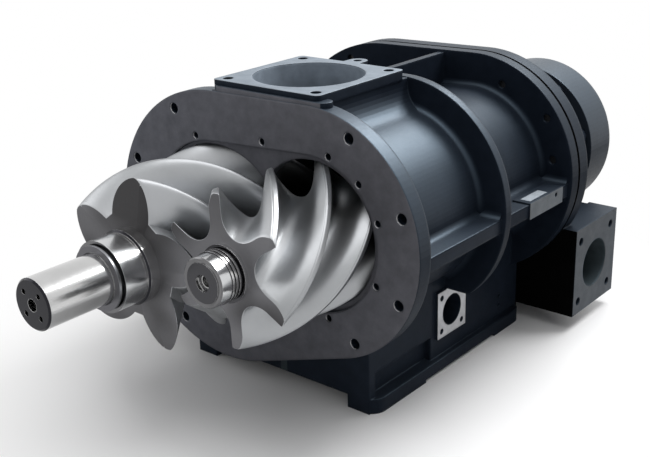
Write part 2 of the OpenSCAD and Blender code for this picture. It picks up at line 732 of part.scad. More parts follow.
module each_ball(c, r, bore) {
    n = floor(180 / asin(1.2 * roll_r(r, bore) / mid_r(r, bore)));
    for (k = [0, 1], i = [0:n - 1])
        translate(around_y(360 * i / n, c, mid_r(r, bore)) + [0, ball_y + (k + 0.5) * ball_w, 0])
            rotate([0, 90 - 360 * i / n, 0]) children();
}
module thrust_balls(c, r, bore) {
    color("gainsboro") each_ball(c, r, bore) sphere(r = roll_r(r, bore) - ring_gap, $fn = 48);
}
module thrust_cages(c, r, bore) {
    color([0.72, 0.58, 0.28]) difference() {
        for (i = [0, 1])
            ring_y(c, ball_y + i * ball_w + cage_inset, ball_y + (i + 1) * ball_w - cage_inset,
                mid_r(r, bore) - roll_r(r, bore) * 0.3, mid_r(r, bore) + roll_r(r, bore) * 0.3);
        each_ball(c, r, bore)
            cylinder(h = roll_r(r, bore), r = roll_r(r, bore) + cage_gap, center = true);
    }
}
module clamp_ring(c, r) {
    color("gray") ring_y(c, clamp_y, seat_y - 0.1, r - ring_lip, r - screw_gap);
}

// Male rotor: its lobes, and the shaft that goes through them
male_stop_y = male_ring_y - male_groove_t - stop_ring_t;
drive_y = male_stop_y - drive_len;
module male_rotor() {
    color([0.78, 0.79, 0.8])
        lobed_body(male_c, male_lobe, lobes_m, centre_tilt + mesh_phase, -male_wrap,
            male_core_r + core_gap);
}
module male_shaft() {
    color([0.82, 0.83, 0.84]) difference() {
        turned(male_c) polygon(concat([[0, drive_y], [drive_r - 2, drive_y], [drive_r, drive_y + 2],
            [drive_r, male_stop_y - stop_step], [stop_seat_r, male_stop_y - stop_step],
            [stop_seat_r, male_stop_y + stop_ring_t], [male_seat_r, male_stop_y + stop_ring_t],
            [male_seat_r, male_collar_y], [male_ring_r, male_collar_y],
            [male_ring_r, male_collar_y + 3.5], [male_collar_r, male_collar_y + 5],
            [male_collar_r, rotor_y]], tail_profile(male_core_r, male_journal_r)));
        rod_y(male_c, drive_y - cut, drive_y + 26, 7);
        for (a = [45:90:315])
            rod_y(around(a, male_c, drive_end_circle_r), drive_y - cut,
                drive_y + drive_end_hole_depth, drive_end_hole_r);
    }
}
module male_inlet_ring() {
    color("gainsboro") ring_y(male_c, male_ring_y, male_collar_y, male_seat_r, male_ring_r);
}
module male_stop_ring() {
    color("gray") ring_y(male_c, male_stop_y, male_stop_y + stop_ring_t, stop_seat_r,
        male_seat_r + 3.5);
}

// Female rotor: its teeth, and the shaft that goes through them
module female_rotor() {
    color([0.78, 0.79, 0.8])
        lobed_body(female_c, female_tooth(), lobes_f, centre_tilt - mesh_phase * lobes_m / lobes_f,
            male_wrap * lobes_m / lobes_f, female_core_r + core_gap);
}
module female_shaft() {
    groove_step = (female_collar_len - 4) / female_groove_count;
    color([0.82, 0.83, 0.84]) difference() {
        turned(female_c) polygon(concat([[0, female_ring_y], [female_seat_r, female_ring_y],
            [female_seat_r, female_collar_y]],
            [for (i = [0:female_groove_count - 1]) let (y = female_collar_y + i * groove_step)
                each [[female_collar_r, y], [female_collar_r, y + groove_step * 0.6],
                    [female_collar_r - 2.5, y + groove_step * 0.6],
                    [female_collar_r - 2.5, y + groove_step]]],
            [[female_core_r + 2, rotor_y - 4], [female_core_r + 2, rotor_y]],
            tail_profile(female_core_r, female_journal_r)));
        rod_y(female_c, female_ring_y - cut, female_ring_y + 6, 9);
        rod_y(female_c, female_ring_y, female_ring_y + 22, 6);
    }
}
module female_inlet_ring() {
    turned_edge = 1.5;
    color("gainsboro") turned(female_c) polygon([[female_seat_r, female_ring_y + 1],
        [female_ring_r - turned_edge, female_ring_y], [female_ring_r, female_ring_y + turned_edge],
        [female_ring_r, female_collar_y], [female_seat_r, female_collar_y]]);
}
rotor_casing();
joint_gasket();
rear_cover();
rear_cover_screws();
dowel_pins();
end_cover_gasket();
end_cover();
end_cover_screws();
clamp_ring(male_c, male_bearing_r);  // male_clamp_ring
clamp_ring(female_c, female_bearing_r);  // female_clamp_ring
roller_outer_ring(male_c, male_bearing_r, male_journal_r);  // male_roller_outer_ring
roller_inner_ring(male_c, male_bearing_r, male_journal_r);  // male_roller_inner_ring
color("gainsboro") rollers(male_c, male_bearing_r, male_journal_r);  // male_rollers
roller_cage(male_c, male_bearing_r, male_journal_r);  // male_roller_cage
thrust_outer_rings(male_c, male_bearing_r, male_journal_r);  // male_thrust_outer_rings
thrust_inner_rings(male_c, male_bearing_r, male_journal_r);  // male_thrust_inner_rings
thrust_balls(male_c, male_bearing_r, male_journal_r);  // male_thrust_balls
thrust_cages(male_c, male_bearing_r, male_journal_r);  // male_thrust_cages
roller_outer_ring(female_c, female_bearing_r, female_journal_r);  // female_roller_outer_ring
roller_inner_ring(female_c, female_bearing_r, female_journal_r);  // female_roller_inner_ring
color("gainsboro") rollers(female_c, female_bearing_r, female_journal_r);  // female_rollers
roller_cage(female_c, female_bearing_r, female_journal_r);  // female_roller_cage
thrust_outer_rings(female_c, female_bearing_r, female_journal_r);  // female_thrust_outer_rings
thrust_inner_rings(female_c, female_bearing_r, female_journal_r);  // female_thrust_inner_rings
thrust_balls(female_c, female_bearing_r, female_journal_r);  // female_thrust_balls
thrust_cages(female_c, female_bearing_r, female_journal_r);  // female_thrust_cages
male_rotor();
male_shaft();
male_inlet_ring();
male_stop_ring();
female_rotor();
female_shaft();
female_inlet_ring();
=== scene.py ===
import json
import math
import bmesh
import bpy
import numpy as np
from mathutils import Matrix, Vector


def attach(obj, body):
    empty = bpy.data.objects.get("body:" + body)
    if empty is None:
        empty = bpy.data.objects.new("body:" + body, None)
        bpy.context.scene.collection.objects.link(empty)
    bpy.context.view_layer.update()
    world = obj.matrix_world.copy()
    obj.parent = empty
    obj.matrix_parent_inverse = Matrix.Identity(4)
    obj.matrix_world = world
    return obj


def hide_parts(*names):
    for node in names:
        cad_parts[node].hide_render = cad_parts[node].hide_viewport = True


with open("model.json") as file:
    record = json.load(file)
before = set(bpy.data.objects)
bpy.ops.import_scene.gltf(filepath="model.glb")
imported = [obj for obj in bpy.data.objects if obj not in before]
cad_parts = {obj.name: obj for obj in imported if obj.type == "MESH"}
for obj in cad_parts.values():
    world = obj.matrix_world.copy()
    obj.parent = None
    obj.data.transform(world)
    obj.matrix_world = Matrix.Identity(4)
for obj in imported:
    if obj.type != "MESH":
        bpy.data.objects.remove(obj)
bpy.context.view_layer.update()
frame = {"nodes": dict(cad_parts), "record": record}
print("frame loaded")

# axes of the two rotors, metres, as points in the X and Z plane
maleAxis = (-0.0675, 0.186)
axisTilt = math.radians(9.8)
axisDistance = 0.144
femaleAxis = (maleAxis[0] + axisDistance * math.cos(axisTilt),
              maleAxis[1] + axisDistance * math.sin(axisTilt))

# view
view = {
    "place": (0.7831, -0.99435, 0.6208),  # metres, in the part's frame
    "azimuth": 40.22,  # degrees from -Y towards +X
    "elevation": 20.51,
    "roll": -1.76,
    "lens": 58.79,
}


def makeCamera():
    az, el, roll = (math.radians(view[k]) for k in ("azimuth", "elevation", "roll"))
    back = Vector((math.sin(az) * math.cos(el), -math.cos(az) * math.cos(el), math.sin(el)))
    right = Vector((math.cos(az), math.sin(az), 0))
    up = back.cross(right)
    turned = right * math.cos(roll) + up * math.sin(roll)
    upTurned = up * math.cos(roll) - right * math.sin(roll)
    data = bpy.data.cameras.new("viewCamera")
    data.lens = view["lens"]
    data.sensor_width = 36
    cam = bpy.data.objects.new("viewCamera", data)
    m = Matrix((turned, upTurned, back)).transposed().to_4x4()
    m.translation = Vector(view["place"])
    cam.matrix_world = m
    bpy.context.scene.collection.objects.link(cam)
    bpy.context.scene.camera = cam


makeCamera()
print("camera placed")

# helpers for materials


class Shade:  # a small writer for node trees
    def __init__(self, name):
        self.mat = bpy.data.materials.new(name)
        self.mat.use_nodes = True
        self.tree = self.mat.node_tree
        self.bsdf = self.tree.nodes["Principled BSDF"]
        self.coord = self.add("ShaderNodeTexCoord").outputs["Object"]

    def add(self, kind, **values):
        n = self.tree.nodes.new(kind)
        for k, v in values.items():
            setattr(n, k, v)
        return n

    def link(self, a, b):
        self.tree.links.new(a, b)

    def put(self, socket, value):
        if hasattr(value, "is_linked"):
            self.link(value, socket)
        else:
            socket.default_value = value

    def math(self, op, a, b=0.0, c=0.0):
        n = self.add("ShaderNodeMath", operation=op)
        for i, v in enumerate((a, b, c)):
            self.put(n.inputs[i], v)
        return n.outputs[0]

    def noise(self, scale, detail=4, rough=0.5, stretch=None):
        n = self.add("ShaderNodeTexNoise")
        n.inputs["Scale"].default_value = scale
        n.inputs["Detail"].default_value = detail
        n.inputs["Roughness"].default_value = rough
        at = self.coord
        if stretch:
            m = self.add("ShaderNodeMapping")
            m.inputs["Scale"].default_value = stretch
            self.link(at, m.inputs["Vector"])
            at = m.outputs[0]
        self.link(at, n.inputs["Vector"])
        return n.outputs["Fac"]

    def ramp(self, fac, low, high, a=0.0, b=1.0):
        n = self.add("ShaderNodeMapRange")
        self.put(n.inputs["Value"], fac)
        n.inputs["From Min"].default_value = low
        n.inputs["From Max"].default_value = high
        n.inputs["To Min"].default_value = a
        n.inputs["To Max"].default_value = b
        return n.outputs[0]

    def mix(self, fac, a, b):
        n = self.add("ShaderNodeMix", data_type="RGBA")
        self.put(n.inputs[0], fac)
        for i, v in ((6, a), (7, b)):
            if hasattr(v, "is_linked"):
                self.link(v, n.inputs[i])
            else:
                n.inputs[i].default_value = (*v, 1)
        return n.outputs[2]

    def axes(self, source=None):
        n = self.add("ShaderNodeSeparateXYZ")
        self.link(source or self.coord, n.inputs[0])
        return n.outputs

    def below(self, v, limit):
        return self.math("LESS_THAN", v, limit)

    def above(self, v, limit):
        return self.math("GREATER_THAN", v, limit)

    def both(self, a, b):
        return self.math("MULTIPLY", a, b)

    def larger(self, a, b):
        return self.math("MAXIMUM", a, b)

    def between(self, v, limits):
        return self.both(self.above(v, limits[0]), self.below(v, limits[1]))

    def without(self, a, b):  # a where b isn't
        return self.both(a, self.math("SUBTRACT", 1, b))

    def distance(self, a, b, centre):
        da = self.math("SUBTRACT", a, centre[0])
        db = self.math("SUBTRACT", b, centre[1])
        return self.math("SQRT", self.math("ADD", self.both(da, da), self.both(db, db)))

    def normal(self):  # the surface's own direction in the part's frame
        n = self.add("ShaderNodeTexCoord")
        return self.axes(n.outputs["Normal"])

    def upShine(self, nz, more=1.0):  # paint is glossier where it faces up
        return self.ramp(nz, 0.0, 0.65, casingLook["shineSide"], casingLook["shineTop"] * more)

    def bump(self, height, strength, distance, edge=0.0):
        n = self.add("ShaderNodeBump")
        n.inputs["Strength"].default_value = strength
        n.inputs["Distance"].default_value = distance
        self.link(height, n.inputs["Height"])
        if edge:
            b = self.add("ShaderNodeBevel", samples=6)
            b.inputs["Radius"].default_value = edge
            self.link(b.outputs[0], n.inputs["Normal"])
        self.link(n.outputs[0], self.bsdf.inputs["Normal"])


# paint and machined faces of the casting
casingLook = {
    "paint": (0.007, 0.010, 0.016),
    "paintWorn": (0.011, 0.015, 0.023),
    "face": (0.098, 0.098, 0.110),
    "faceTop": (0.225, 0.245, 0.27),
    "facePad": (0.31, 0.34, 0.37),
    "facePadSide": (0.13, 0.135, 0.14),
    "holeRim": (0.50, 0.50, 0.51),
    "facePort": (0.50, 0.50, 0.51),
    "faceBranch": (0.090, 0.090, 0.092),
    "bore": (0.10, 0.105, 0.115),
    # painted shade: the colour deep inside the bores
    "boreShade": (0.010, 0.010, 0.012),
    "inletInside": (0.22, 0.26, 0.31),
    # painted shade: the dark inside of the outlet, also used at the foot of the inlet
    "portInsideShade": (0.035, 0.045, 0.050),
    # the gasket's dark line, widened with painted shade of the gap between the flanges
    "jointGapShade": (0.002, 0.002, 0.002),
    # the casing's paint, partly painted lighter as a painted sheen on the rear cover
    "cover": (0.016, 0.021, 0.029),
    "coverRough": 0.36,
    "coverEdge": 0.0025,
    "gasket": (0.008, 0.008, 0.009),
    "paintRough": 0.46,
    "shineSide": 0.07,
    "shineTop": 0.95,
    "rearShine": 0.45,  # the rear half is duller
    "paintTint": (0.60, 0.80, 1.0, 1.0),
    "grain": 420.0,
    "edge": 0.0038,  # rounding of the cast edges
}

# where the machined faces and the openings of the castings lie, metres
castingPlaces = {
    "frontY": -0.1780,
    "recessY": -0.1740,  # the front face below the inlet flange starts a little deeper
    "recessZ": 0.340,
    "topZ": 0.3642,
    "portX": (0.1405, 0.1415),
    "portZ": (0.0415, 0.1035),
    "branchX": 0.2185,
    "padX": (0.1975, 0.2105),
    "padY": (0.056, 0.097),
    "padZ": 0.2082,
    "padSideX": 0.2150,
    "padSideY": (0.044, 0.130),
    "maleBore": 0.1026,
    "femaleBore": 0.0836,
    # the bores darken with painted shade between these places along Y
    "boreEnd": 0.1625,
    "boreShadeFade": (-0.165, -0.06),
    "inlet": (0.009, -0.09875),  # centre in X and Y
    "inletRadius": 0.0642,
    "inletTop": 0.3640,
    # inside the inlet, painted shade darkens the walls below these heights
    "inletShadeFade": (0.285, 0.350),
    "outlet": (0.21975, 0.079),  # centre in Y and Z
    "outletRadius": 0.0326,
    "outletX": 0.150,
    "jointY": (0.1608, 0.1654),  # the dark line between the rear flanges: the gasket, widened with painted shade of the gap
    "maleHoles": 0.161,  # the holes of the front flange lie inside these radii
    "femaleHoles": 0.139,
    "flangeY": (-0.1806, -0.1600),
    # the machined rim of each hole ends here; deeper in, painted shade
    "rimY": -0.1790,
    "dullY": (-0.03, 0.02),  # where the paint turns duller towards the rear
    "square": 0.95,  # a face looks along an axis from here on
}


def paintedCasting(name, edge):
    s = Shade(name)
    c = castingPlaces
    x, y, z = s.axes()
    nx, ny, nz = s.normal()
    rightward, upward = s.above(nx, c["square"]), s.above(nz, c["square"])
    # faces that were milled after painting
    front = s.larger(s.below(y, c["frontY"]), s.both(s.below(y, c["recessY"]), s.below(z, c["recessZ"])))
    front = s.both(front, s.below(ny, -c["square"]))
    top = s.both(s.above(z, c["topZ"]), upward)
    port = s.both(s.both(s.between(x, c["portX"]), s.between(z, c["portZ"])), rightward)
    branch = s.both(s.above(x, c["branchX"]), rightward)
    pad = s.both(s.both(s.between(x, c["padX"]), s.between(y, c["padY"])), upward)
    pad = s.both(pad, s.above(z, c["padZ"]))
    padSide = s.both(s.both(s.above(x, c["padSideX"]), rightward), s.between(y, c["padSideY"]))
    # insides
    maleBore = s.below(s.distance(x, z, maleAxis), c["maleBore"])
    femaleBore = s.below(s.distance(x, z, femaleAxis), c["femaleBore"])
    bores = s.larger(maleBore, femaleBore)
    inBore = s.without(s.both(bores, s.below(y, c["boreEnd"])), front)
    inlet = s.both(s.below(s.distance(x, y, c["inlet"]), c["inletRadius"]), s.below(z, c["inletTop"]))
    outlet = s.both(s.below(s.distance(y, z, c["outlet"]), c["outletRadius"]), s.above(x, c["outletX"]))
    joint = s.between(y, c["jointY"])
    # rims of the holes in the front flange get the machined colour; deeper in, the walls keep the dark
    # paint as painted shade
    inFlange = s.larger(s.below(s.distance(x, z, maleAxis), c["maleHoles"]),
                        s.below(s.distance(x, z, femaleAxis), c["femaleHoles"]))
    rims = s.both(s.both(inFlange, s.between(y, c["flangeY"])), s.below(y, c["rimY"]))
    rims = s.without(s.both(rims, s.below(s.math("ABSOLUTE", ny), 0.9)), bores)
    look = casingLook
    # painted shade: the bores darken from their machined colour, deeper in
    boreShadeTint = s.mix(s.ramp(y, *c["boreShadeFade"]), look["bore"], look["boreShade"])
    # painted shade: the inside of the inlet darkens towards its foot
    inletShadeTint = s.mix(s.ramp(z, *c["inletShadeFade"]), look["portInsideShade"], look["inletInside"])
    colour = s.mix(s.ramp(s.noise(9, 3), 0.35, 0.7), look["paint"], look["paintWorn"])
    for mask, tint in ((front, look["face"]), (top, look["faceTop"]), (pad, look["facePad"]),
                       (padSide, look["facePadSide"]), (port, look["facePort"]),
                       (branch, look["faceBranch"]), (inlet, inletShadeTint),
                       (outlet, look["portInsideShade"]), (joint, look["jointGapShade"]),
                       (inBore, boreShadeTint), (rims, look["holeRim"])):
        colour = s.mix(mask, colour, tint)
    wipe = s.ramp(s.noise(60, 5, 0.6), 0.3, 0.75, 0.85, 1.2)
    tone = s.add("ShaderNodeVectorMath", operation="SCALE")
    s.link(colour, tone.inputs[0])
    s.link(wipe, tone.inputs["Scale"])
    s.link(tone.outputs[0], s.bsdf.inputs["Base Color"])
    machined = front
    for mask in (top, pad, port, branch, inBore, padSide, rims):
        machined = s.larger(machined, mask)
    s.link(s.math("MULTIPLY", machined, 0.5), s.bsdf.inputs["Metallic"])
    fine = s.noise(look["grain"], 3)
    rough = s.ramp(fine, 0.2, 0.8, look["paintRough"] - 0.04, look["paintRough"] + 0.06)
    s.link(s.math("ADD", rough, s.math("MULTIPLY", machined, 0.1)), s.bsdf.inputs["Roughness"])
    gloss = s.both(s.upShine(nz), s.ramp(y, *c["dullY"], 1.0, look["rearShine"]))
    s.link(s.without(gloss, joint), s.bsdf.inputs["Specular IOR Level"])
    s.bsdf.inputs["Specular Tint"].default_value = look["paintTint"]
    s.bump(s.math("ADD", s.math("MULTIPLY", fine, 0.35), s.noise(70, 4)), 0.12, 0.0008, edge)
    return s.mat


# steel
steelLook = {
    "rotor": (0.40, 0.41, 0.425),
    "rotorDark": (0.315, 0.325, 0.335),
    # painted dark reflection: the rotors' end faces are darker than their flanks, in random patches
    "rotorEndShade": (0.17, 0.17, 0.18),
    "rotorEndShadeDark": (0.050, 0.049, 0.051),
    "rotorBoreShade": 0.07,  # painted shade: how much of the colour is left where the rotors run inside the bores
    "rotorBoreShadeFade": (-0.178, -0.128),  # where the painted shade deepens, from the front face inwards, metres
    "rotorRough": 0.37,
    "shaft": (0.62, 0.62, 0.62),
    # painted dark reflection: the colours of the front-facing ends of the turned parts, darker than their
    # sides
    "shaftEndShade": (0.06, 0.06, 0.065),
    "shaftRough": 0.17,
    "bearing": (0.66, 0.67, 0.68),
    "bearingRough": 0.20,
    "screw": (0.05, 0.05, 0.052),
    # painted dark reflection on the drive shaft's end
    "driveEndShade": (0.024, 0.024, 0.028),
    "centreRadius": 0.0072,  # metres
    "rimsRadius": 0.0228,
    "driveRimsY": -0.44325,
    # painted dark reflection on the rings' front ends
    "ringEndShade": (0.15, 0.15, 0.155),
    "stopRing": (0.34, 0.35, 0.37),
    # painted dark reflection on the stop ring's front end
    "stopRingEndShade": (0.12, 0.12, 0.13),
    "brass": (0.62, 0.44, 0.17),
}


def turnedSteel(name, colour, endShade, rough, rings=900.0, depth=0.06, centre=None, rimsY=None):
    s = Shade(name)
    ny = s.normal()[1]
    lines = s.noise(1, 6, 0.7, stretch=(3, rings, 3))
    side = s.mix(s.ramp(s.noise(25, 4), 0.3, 0.7), tuple(v * 0.85 for v in colour), colour)
    # painted dark reflection: the ends that face the front take the darker end colour
    end = s.below(ny, -0.5)
    if centre:  # the centre hole keeps the bright colour of the sides, without the painted dark reflection of the end
        x, y, z = s.axes()
        away = s.distance(x, z, centre)
        bright = s.below(away, steelLook["centreRadius"])
        if rimsY:  # and so do the rims where the other holes meet the end
            rims = s.both(s.both(s.below(y, rimsY), s.below(away, steelLook["rimsRadius"])),
                          s.below(s.math("ABSOLUTE", ny), 0.9))
            bright = s.larger(bright, rims)
        end = s.without(end, bright)
    s.link(s.mix(end, side, endShade), s.bsdf.inputs["Base Color"])
    s.bsdf.inputs["Metallic"].default_value = 1.0
    s.link(s.ramp(lines, 0.25, 0.75, rough * 0.8, rough * 1.25), s.bsdf.inputs["Roughness"])
    s.bump(lines, depth, 0.0004, 0.0005)
    return s.mat


def rotorSteel(name):
    s = Shade(name)
    ny = s.normal()[1]
    end = s.above(s.math("ABSOLUTE", ny), 0.97)
    cloud = s.ramp(s.noise(14, 4), 0.3, 0.7)
    flank = s.mix(cloud, steelLook["rotorDark"], steelLook["rotor"])
    # the end faces get the painted dark reflection
    face = s.mix(s.ramp(s.noise(8, 2), 0.40, 0.60), steelLook["rotorEndShadeDark"],
                 steelLook["rotorEndShade"])
    tone = s.add("ShaderNodeVectorMath", operation="SCALE")
    s.link(s.mix(end, flank, face), tone.inputs[0])
    # painted shade: the rotors darken from the front face into the bores
    s.link(s.ramp(s.axes()[1], *steelLook["rotorBoreShadeFade"], 1.0, steelLook["rotorBoreShade"]), tone.inputs["Scale"])
    s.link(tone.outputs[0], s.bsdf.inputs["Base Color"])
    s.bsdf.inputs["Metallic"].default_value = 1.0
    grain = s.noise(380, 3)
    rough = s.ramp(grain, 0.2, 0.8, steelLook["rotorRough"] - 0.03, steelLook["rotorRough"] + 0.05)
    s.link(s.math("ADD", rough, s.math("MULTIPLY", end, 0.1)), s.bsdf.inputs["Roughness"])
    s.bump(grain, 0.06, 0.0004)
    return s.mat


def plainLook(name, colour, rough, metal, grain=300.0, depth=0.1, edge=0.0):
    s = Shade(name)
    cloud = s.noise(40, 4)
    s.link(s.mix(s.ramp(cloud, 0.3, 0.7), tuple(v * 0.8 for v in colour), colour),
           s.bsdf.inputs["Base Color"])
    s.bsdf.inputs["Metallic"].default_value = metal
    fine = s.noise(grain, 3)
    s.link(s.ramp(fine, 0.2, 0.8, rough * 0.85, rough * 1.15), s.bsdf.inputs["Roughness"])
    s.bump(fine, depth, 0.0004, edge)
    if metal < 0.5:
        s.link(s.upShine(s.normal()[2], 1.05), s.bsdf.inputs["Specular IOR Level"])
        s.bsdf.inputs["Specular Tint"].default_value = casingLook["paintTint"]
    return s.mat


looks = {
    "casing_paint": paintedCasting("castingPaint", casingLook["edge"]),
    "cover_paint": plainLook("coverPaint", casingLook["cover"], casingLook["coverRough"], 0.0,
                             grain=260, edge=casingLook["coverEdge"]),
    "gasket": plainLook("gasketSheet", casingLook["gasket"], 0.8, 0.0),
    "rotor_steel": rotorSteel("rotorSteel"),
    "shaft_steel": turnedSteel("shaftSteel", steelLook["shaft"], steelLook["shaftEndShade"],
                               steelLook["shaftRough"]),
    "bearing_steel": turnedSteel("bearingSteel", steelLook["bearing"], steelLook["ringEndShade"],
                                 steelLook["bearingRough"], 600, 0.03),
    "cage_brass": plainLook("cageBrass", steelLook["brass"], 0.32, 1.0),
    "screw_steel": plainLook("screwSteel", steelLook["screw"], 0.42, 0.8),
}
filletPaint = paintedCasting("castingFilletPaint", 0.0)
slotOf = {p["node"]: p["material_slot"] for p in frame["record"]["subparts"]}
for nodeName, obj in frame["nodes"].items():
    obj.data.materials.clear()
    obj.data.materials.append(looks[slotOf[nodeName]])
frame["nodes"]["female_shaft"].data.materials[0] = turnedSteel(
    "idleShaftSteel", steelLook["shaft"], steelLook["shaftEndShade"], steelLook["shaftRough"],
    centre=femaleAxis)
frame["nodes"]["male_shaft"].data.materials[0] = turnedSteel(
    "driveShaftSteel", steelLook["shaft"], steelLook["driveEndShade"], steelLook["shaftRough"],
    centre=maleAxis, rimsY=steelLook["driveRimsY"])
frame["nodes"]["male_stop_ring"].data.materials[0] = turnedSteel(
    "stopRingSteel", steelLook["stopRing"], steelLook["stopRingEndShade"], 0.3)
print("materials set")

# the two rotors, finer than the frame's, metres
rotorShape = {
    "maleLobes": 5,
    "femaleTeeth": 6,
    "maleRadius": 0.102,
    "femaleRadius": 0.083,
    "flankGap": 0.0008,
    "steepSpan": 22.0,  # degrees of a lobe's steep side
    "roundSpan": 37.0,
    "steepPower": 1.75,
    "roundPower": 1.30,
    "tipRound": 0.0024,  # rounding of the female teeth
    "crestRays": (17, 31),  # degrees of a tooth where the rays that shape it lie closer
    "crestStep": 0.35,
    "crestDrop": 0.0004,  # a tooth's crest is as far as this below its highest point
    "frontY": -0.31175,
    "length": 0.3366,
    "wrap": 300.0,  # degrees that the male lobes turn from end to end
    "phase": 0.4,
    "rings": 150,
    "chamfer": 0.0005,
    "maleBore": 0.0331,
    "femaleBore": 0.0291,
    "sharpAngle": 28,  # degrees
}


def turn2d(points, degrees):
    t = math.radians(degrees)
    return points @ np.array([[math.cos(t), math.sin(t)], [-math.sin(t), math.cos(t)]])


def lobeOutline(steepCount, roundCount):
    r = rotorShape
    root = axisDistance - r["femaleRadius"] - r["flankGap"]
    a = np.concatenate([-r["steepSpan"] * (1 - np.arange(steepCount) / steepCount),
                        r["roundSpan"] * np.arange(roundCount + 1) / roundCount])
    u = np.where(a < 0, (np.abs(a) / r["steepSpan"]) ** r["steepPower"],
                 (np.abs(a) / r["roundSpan"]) ** r["roundPower"])
    radius = r["maleRadius"] - (r["maleRadius"] - root) * np.minimum(1, u)
    t = np.radians(a)
    return np.stack([radius * np.cos(t), radius * np.sin(t)], 1)


def maleOutline(steepCount=24, roundCount=36):
    lobe = lobeOutline(steepCount, roundCount)
    step = 360 / rotorShape["maleLobes"]
    return np.vstack([turn2d(lobe, step * k) for k in range(rotorShape["maleLobes"])])


def femaleOutline():
    r = rotorShape
    teeth, ratio = r["femaleTeeth"], r["maleLobes"] / r["femaleTeeth"]
    ring = maleOutline(14, 24)  # the male outline, grown by the gap, is swept through the female's plane
    away = np.roll(ring, -1, 0) - np.roll(ring, 1, 0)
    away = np.stack([away[:, 1], -away[:, 0]], 1) / np.linalg.norm(away, axis=1)[:, None]
    grown = ring + away * r["flankGap"]
    step = 360 / teeth
    first, last = r["crestRays"]
    angles = np.concatenate([np.arange(0, first, 1.0), np.arange(first, last, r["crestStep"]),
                             np.arange(last, step, 1.0)])
    rays = np.radians((angles[:, None] + step * np.arange(teeth)[None]).ravel())
    d = np.stack([np.cos(rays), np.sin(rays)], 1)
    limit = np.full(len(rays), r["femaleRadius"])
    for turn in np.arange(0, 360 / r["maleLobes"], 0.75):
        a = turn2d(turn2d(grown, turn) - [axisDistance, 0], turn * ratio)
        b = np.roll(a, -1, 0)
        ca = d[:, :1] * a[None, :, 1] - d[:, 1:] * a[None, :, 0]
        cb = d[:, :1] * b[None, :, 1] - d[:, 1:] * b[None, :, 0]
        with np.errstate(all="ignore"):
            t = ca / (ca - cb)
            hit = (a[None, :, 0] + (b - a)[None, :, 0] * t) * d[:, :1] \
                + (a[None, :, 1] + (b - a)[None, :, 1] * t) * d[:, 1:]
        hit = np.where((ca * cb <= 0) & (ca != cb) & (hit > 0), hit, r["femaleRadius"])
        limit = np.minimum(limit, hit.min(1))
    radius = limit.reshape(len(angles), teeth).min(1)
    # the crest's ends are rounded
    land = angles[radius > r["femaleRadius"] - r["crestDrop"]]
    half = math.radians(land.max() - land.min()) / 2 * r["femaleRadius"]
    print(f"female teeth are {half * 2000:.1f} mm wide at the crest")
    out = np.radians(np.abs(angles - (land.max() + land.min()) / 2)) * r["femaleRadius"]
    soft = min(r["tipRound"], half)
    over = np.clip(out - (half - soft), 0, soft)
    radius = np.minimum(radius, r["femaleRadius"] - 0.5 * over ** 2 / soft)
    t = np.radians(angles + 180)
    tooth = np.stack([radius * np.cos(t), radius * np.sin(t)], 1)
    return np.vstack([turn2d(tooth, step * k) for k in range(teeth)])


def inset(outline, by):
    along = np.roll(outline, -1, 0) - np.roll(outline, 1, 0)
    out = np.stack([along[:, 1], -along[:, 0]], 1) / np.linalg.norm(along, axis=1)[:, None]
    return outline - out * by


# an outline drawn out along Y and turned, with a small chamfer at each end; both end faces
# have a hole for the shaft, which hides that there is no wall inside it
def lobedBody(name, outline, axis, start, wrap, bore, body, node):
    r = rotorShape
    n = len(outline)
    rings = r["rings"]
    edge = r["chamfer"] / r["length"]
    stops = [0.0, edge] + [edge + (1 - 2 * edge) * (j + 1) / rings for j in range(rings)] + [1.0]
    verts = []
    for j, t in enumerate(stops):
        flat = inset(outline, r["chamfer"]) if j in (0, len(stops) - 1) else outline
        p = turn2d(flat, start + wrap * t)
        y = r["frontY"] + r["length"] * t
        verts += [(axis[0] + q[0], y, axis[1] + q[1]) for q in p]
    for t in (0.0, 1.0):
        p = turn2d(outline, start + wrap * t)
        p = p / np.linalg.norm(p, axis=1)[:, None] * bore
        y = r["frontY"] + r["length"] * t
        verts += [(axis[0] + q[0], y, axis[1] + q[1]) for q in p]
    faces = []
    last = (len(stops) - 1) * n
    near, far = len(stops) * n, (len(stops) + 1) * n
    for i in range(n):
        k = (i + 1) % n
        for j in range(len(stops) - 1):
            a, b = j * n + i, j * n + k
            faces.append((a, b, b + n, a + n))
        faces.append((near + i, near + k, k, i))
        faces.append((last + i, last + k, far + k, far + i))
    mesh = bpy.data.meshes.new(name)
    mesh.from_pydata(verts, [], faces)
    mesh.validate()
    mesh.update()
    obj = bpy.data.objects.new(name, mesh)
    bpy.context.scene.collection.objects.link(obj)
    for p in mesh.polygons:
        p.use_smooth = True
    mesh.set_sharp_from_angle(angle=math.radians(r["sharpAngle"]))
    mesh.materials.append(looks["rotor_steel"])
    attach(obj, body)
    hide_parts(node)


def makeRotors():
    r = rotorShape
    tilt = math.degrees(axisTilt)
    ratio = r["maleLobes"] / r["femaleTeeth"]
    lobedBody("maleLobes", maleOutline(), maleAxis, tilt + r["phase"], -r["wrap"],
              r["maleBore"], "male_turning_set", "male_rotor")
    lobedBody("femaleTeeth", femaleOutline(), femaleAxis, tilt - r["phase"] * ratio,
              r["wrap"] * ratio, r["femaleBore"], "female_turning_set", "female_rotor")


makeRotors()
print("rotors made")

